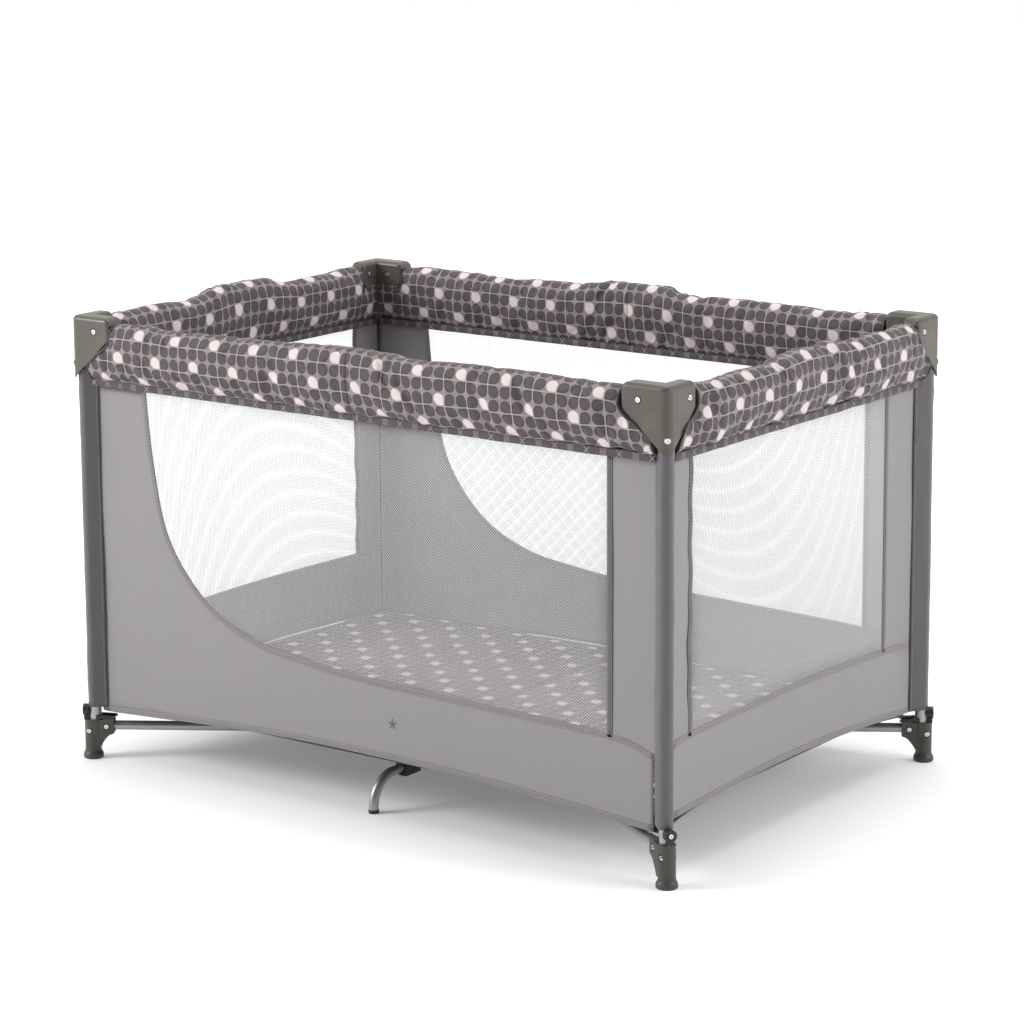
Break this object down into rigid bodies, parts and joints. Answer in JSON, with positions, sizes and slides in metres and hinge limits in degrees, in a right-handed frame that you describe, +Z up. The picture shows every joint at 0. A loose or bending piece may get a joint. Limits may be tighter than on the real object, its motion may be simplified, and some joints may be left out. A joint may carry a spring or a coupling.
{
  "type": "folding playpen",
  "caption": "Rectangular folding playpen with padded printed top rails, mesh windows in sewn grey walls, corner posts on feet and a padded floor mattress.",
  "frame": {"origin": "on the floor under the middle of the pen", "axes": "+Z up, X along the long sides, -Y towards the front side whose mesh window is cut away in a curve at its left end"},
  "size_m": [1.0686, 0.7384, 0.684],
  "materials": {
    "printed_fabric": "woven polyester with a printed clover of petals, satin",
    "mattress_print": "quilted cover with the same clover print",
    "grey_fabric": "plain woven grey polyester, dull satin",
    "sleeve_fabric": "coated dark grey fabric, soft sheen",
    "mesh_fabric": "fine knitted net",
    "cap_plastic": "moulded, satin olive grey",
    "foot_plastic": "moulded, satin dark olive",
    "black_plastic": "moulded, fine grain",
    "button_plastic": "moulded, satin",
    "bright_screws": "polished",
    "post_tube": "silver powder coat",
    "rail_tube": "silver powder coat",
    "arm_tube": "silver powder coat",
    "leg_tube": "silver powder coat"
  },
  "bodies": {
    "post_front_left": {"post_front_left": "post_tube", "sleeve_front_left": "sleeve_fabric", "corner_cap_front_left": "cap_plastic", "foot_front_left": "foot_plastic", "screws_front_left": "bright_screws", "wall_front": "grey_fabric", "wall_left": "grey_fabric"},
    "post_front_right": {"post_front_right": "post_tube", "sleeve_front_right": "sleeve_fabric", "corner_cap_front_right": "cap_plastic", "foot_front_right": "foot_plastic", "screws_front_right": "bright_screws", "wall_right": "grey_fabric"},
    "post_back_left": {"post_back_left": "post_tube", "sleeve_back_left": "sleeve_fabric", "corner_cap_back_left": "cap_plastic", "foot_back_left": "foot_plastic", "screws_back_left": "bright_screws", "wall_back": "grey_fabric"},
    "post_back_right": {"post_back_right": "post_tube", "sleeve_back_right": "sleeve_fabric", "corner_cap_back_right": "cap_plastic", "foot_back_right": "foot_plastic", "screws_back_right": "bright_screws"},
    "arm_front_left": {"arm_front_left": "arm_tube"},
    "arm_front_right": {"arm_front_right": "arm_tube"},
    "arm_back_left": {"arm_back_left": "arm_tube"},
    "arm_back_right": {"arm_back_right": "arm_tube"},
    "hub": {"hub": "black_plastic"},
    "leg_front": {"leg_front": "leg_tube", "leg_fittings_front": "black_plastic"},
    "leg_back": {"leg_back": "leg_tube", "leg_fittings_back": "black_plastic"},
    "rail_front_left": {"rail_front_left": "rail_tube", "cover_front_left": "printed_fabric"},
    "rail_front_right": {"rail_front_right": "rail_tube", "cover_front_right": "printed_fabric"},
    "lock_front": {"lock_front": "black_plastic"},
    "lock_button_front": {"lock_button_front": "button_plastic"},
    "rail_back_left": {"rail_back_left": "rail_tube", "cover_back_left": "printed_fabric"},
    "rail_back_right": {"rail_back_right": "rail_tube", "cover_back_right": "printed_fabric"},
    "lock_back": {"lock_back": "black_plastic"},
    "lock_button_back": {"lock_button_back": "button_plastic"},
    "rail_left_front": {"rail_left_front": "rail_tube", "cover_left_front": "printed_fabric"},
    "rail_left_back": {"rail_left_back": "rail_tube", "cover_left_back": "printed_fabric"},
    "lock_left": {"lock_left": "black_plastic"},
    "lock_button_left": {"lock_button_left": "button_plastic"},
    "rail_right_front": {"rail_right_front": "rail_tube", "cover_right_front": "printed_fabric"},
    "rail_right_back": {"rail_right_back": "rail_tube", "cover_right_back": "printed_fabric"},
    "lock_right": {"lock_right": "black_plastic"},
    "lock_button_right": {"lock_button_right": "button_plastic"},
    "mattress": {"mattress": "mattress_print"}
  },
  "joints": [
    {"name": "fold", "type": "hinge", "parent": "post_front_left", "child": "arm_front_left", "pos_m": [-0.49569, -0.33581, 0.05], "axis": [0.5403, -0.8415, 0], "range_deg": [0, 84], "deforming": ["wall_front", "wall_back", "wall_left", "wall_right", "mattress"]},
    {"name": "hub_level", "type": "hinge", "parent": "arm_front_left", "child": "hub", "pos_m": [-0.03469, -0.03982, 0.05], "axis": [-0.5403, 0.8415, 0], "range_deg": [0, 84]},
    {"name": "arm_hinge_front_right", "type": "hinge", "parent": "hub", "child": "arm_front_right", "pos_m": [0.03469, -0.03982, 0.05], "axis": [0.5403, 0.8415, 0], "range_deg": [0, 84]},
    {"name": "foot_hinge_front_right", "type": "hinge", "parent": "arm_front_right", "child": "post_front_right", "pos_m": [0.49569, -0.33581, 0.05], "axis": [-0.5403, -0.8415, 0], "range_deg": [0, 84]},
    {"name": "arm_hinge_back_left", "type": "hinge", "parent": "hub", "child": "arm_back_left", "pos_m": [-0.03469, 0.03982, 0.05], "axis": [-0.5403, -0.8415, 0], "range_deg": [0, 84]},
    {"name": "foot_hinge_back_left", "type": "hinge", "parent": "arm_back_left", "child": "post_back_left", "pos_m": [-0.49569, 0.33581, 0.05], "axis": [0.5403, 0.8415, 0], "range_deg": [0, 84]},
    {"name": "arm_hinge_back_right", "type": "hinge", "parent": "hub", "child": "arm_back_right", "pos_m": [0.03469, 0.03982, 0.05], "axis": [-0.5403, 0.8415, 0], "range_deg": [0, 84]},
    {"name": "foot_hinge_back_right", "type": "hinge", "parent": "arm_back_right", "child": "post_back_right", "pos_m": [0.49569, 0.33581, 0.05], "axis": [0.5403, -0.8415, 0], "range_deg": [0, 84]},
    {"name": "rail_hinge_front_left", "type": "hinge", "parent": "post_front_left", "child": "rail_front_left", "pos_m": [-0.476, -0.345, 0.652], "axis": [0, 1, 0], "range_deg": [0, 84], "deforming": ["cover_front_left"]},
    {"name": "lock_hinge_front", "type": "hinge", "parent": "rail_front_left", "child": "lock_front", "pos_m": [-0.015, -0.345, 0.652], "axis": [0, -1, 0], "range_deg": [0, 84]},
    {"name": "rail_hinge_front_right", "type": "hinge", "parent": "post_front_right", "child": "rail_front_right", "pos_m": [0.476, -0.345, 0.652], "axis": [0, -1, 0], "range_deg": [0, 84], "deforming": ["cover_front_right"]},
    {"name": "lock_press_front", "type": "slide", "parent": "lock_front", "child": "lock_button_front", "axis": [0, 1, 0], "range_m": [0, 0.0035], "stiffness_N_per_m": 400, "springref_m": -0.001},
    {"name": "rail_hinge_back_left", "type": "hinge", "parent": "post_back_left", "child": "rail_back_left", "pos_m": [-0.476, 0.345, 0.652], "axis": [0, 1, 0], "range_deg": [0, 84], "deforming": ["cover_back_left"]},
    {"name": "lock_hinge_back", "type": "hinge", "parent": "rail_back_left", "child": "lock_back", "pos_m": [-0.015, 0.345, 0.652], "axis": [0, -1, 0], "range_deg": [0, 84]},
    {"name": "rail_hinge_back_right", "type": "hinge", "parent": "post_back_right", "child": "rail_back_right", "pos_m": [0.476, 0.345, 0.652], "axis": [0, -1, 0], "range_deg": [0, 84], "deforming": ["cover_back_right"]},
    {"name": "lock_press_back", "type": "slide", "parent": "lock_back", "child": "lock_button_back", "axis": [0, -1, 0], "range_m": [0, 0.0035], "stiffness_N_per_m": 400, "springref_m": -0.001},
    {"name": "rail_hinge_left_front", "type": "hinge", "parent": "post_front_left", "child": "rail_left_front", "pos_m": [-0.51, -0.311, 0.652], "axis": [-1, 0, 0], "range_deg": [0, 84], "deforming": ["cover_left_front"]},
    {"name": "lock_hinge_left", "type": "hinge", "parent": "rail_left_front", "child": "lock_left", "pos_m": [-0.51, -0.015, 0.652], "axis": [1, 0, 0], "range_deg": [0, 84]},
    {"name": "rail_hinge_left_back", "type": "hinge", "parent": "post_back_left", "child": "rail_left_back", "pos_m": [-0.51, 0.311, 0.652], "axis": [1, 0, 0], "range_deg": [0, 84], "deforming": ["cover_left_back"]},
    {"name": "lock_press_left", "type": "slide", "parent": "lock_left", "child": "lock_button_left", "axis": [1, 0, 0], "range_m": [0, 0.0035], "stiffness_N_per_m": 400, "springref_m": -0.001},
    {"name": "rail_hinge_right_front", "type": "hinge", "parent": "post_front_right", "child": "rail_right_front", "pos_m": [0.51, -0.311, 0.652], "axis": [-1, 0, 0], "range_deg": [0, 84], "deforming": ["cover_right_front"]},
    {"name": "lock_hinge_right", "type": "hinge", "parent": "rail_right_front", "child": "lock_right", "pos_m": [0.51, -0.015, 0.652], "axis": [1, 0, 0], "range_deg": [0, 84]},
    {"name": "rail_hinge_right_back", "type": "hinge", "parent": "post_back_right", "child": "rail_right_back", "pos_m": [0.51, 0.311, 0.652], "axis": [1, 0, 0], "range_deg": [0, 84], "deforming": ["cover_right_back"]},
    {"name": "lock_press_right", "type": "slide", "parent": "lock_right", "child": "lock_button_right", "axis": [-1, 0, 0], "range_m": [0, 0.0035], "stiffness_N_per_m": 400, "springref_m": -0.001},
    {"name": "leg_hinge_front", "type": "hinge", "parent": "hub", "child": "leg_front", "pos_m": [0, -0.04, 0.05], "axis": [1, 0, 0], "range_deg": [0, 78.1]},
    {"name": "leg_hinge_back", "type": "hinge", "parent": "hub", "child": "leg_back", "pos_m": [0, 0.04, 0.05], "axis": [-1, 0, 0], "range_deg": [0, 78.1]},
    {"name": "mattress_lift", "type": "slide", "parent": "hub", "child": "mattress", "axis": [0, 0, 1], "range_m": [0, 0.0805]}
  ],
  "couplings": [
    {"joint": "hub_level", "follows": "fold", "ratio": 1},
    {"joint": "arm_hinge_front_right", "follows": "fold", "ratio": 1},
    {"joint": "foot_hinge_front_right", "follows": "fold", "ratio": 1},
    {"joint": "arm_hinge_back_left", "follows": "fold", "ratio": 1},
    {"joint": "foot_hinge_back_left", "follows": "fold", "ratio": 1},
    {"joint": "arm_hinge_back_right", "follows": "fold", "ratio": 1},
    {"joint": "foot_hinge_back_right", "follows": "fold", "ratio": 1},
    {"joint": "rail_hinge_front_left", "follows": "fold", "ratio": 1},
    {"joint": "lock_hinge_front", "follows": "fold", "ratio": 1},
    {"joint": "rail_hinge_front_right", "follows": "fold", "ratio": 1},
    {"joint": "rail_hinge_back_left", "follows": "fold", "ratio": 1},
    {"joint": "lock_hinge_back", "follows": "fold", "ratio": 1},
    {"joint": "rail_hinge_back_right", "follows": "fold", "ratio": 1},
    {"joint": "rail_hinge_left_front", "follows": "fold", "ratio": 1},
    {"joint": "lock_hinge_left", "follows": "fold", "ratio": 1},
    {"joint": "rail_hinge_left_back", "follows": "fold", "ratio": 1},
    {"joint": "rail_hinge_right_front", "follows": "fold", "ratio": 1},
    {"joint": "lock_hinge_right", "follows": "fold", "ratio": 1},
    {"joint": "rail_hinge_right_back", "follows": "fold", "ratio": 1},
    {"joint": "leg_hinge_front", "follows": "fold", "ratio": 0.92857},
    {"joint": "leg_hinge_back", "follows": "fold", "ratio": 0.92857},
    {"joint": "mattress_lift", "follows": "fold", "m_per_rad": 0.054567}
  ]
}
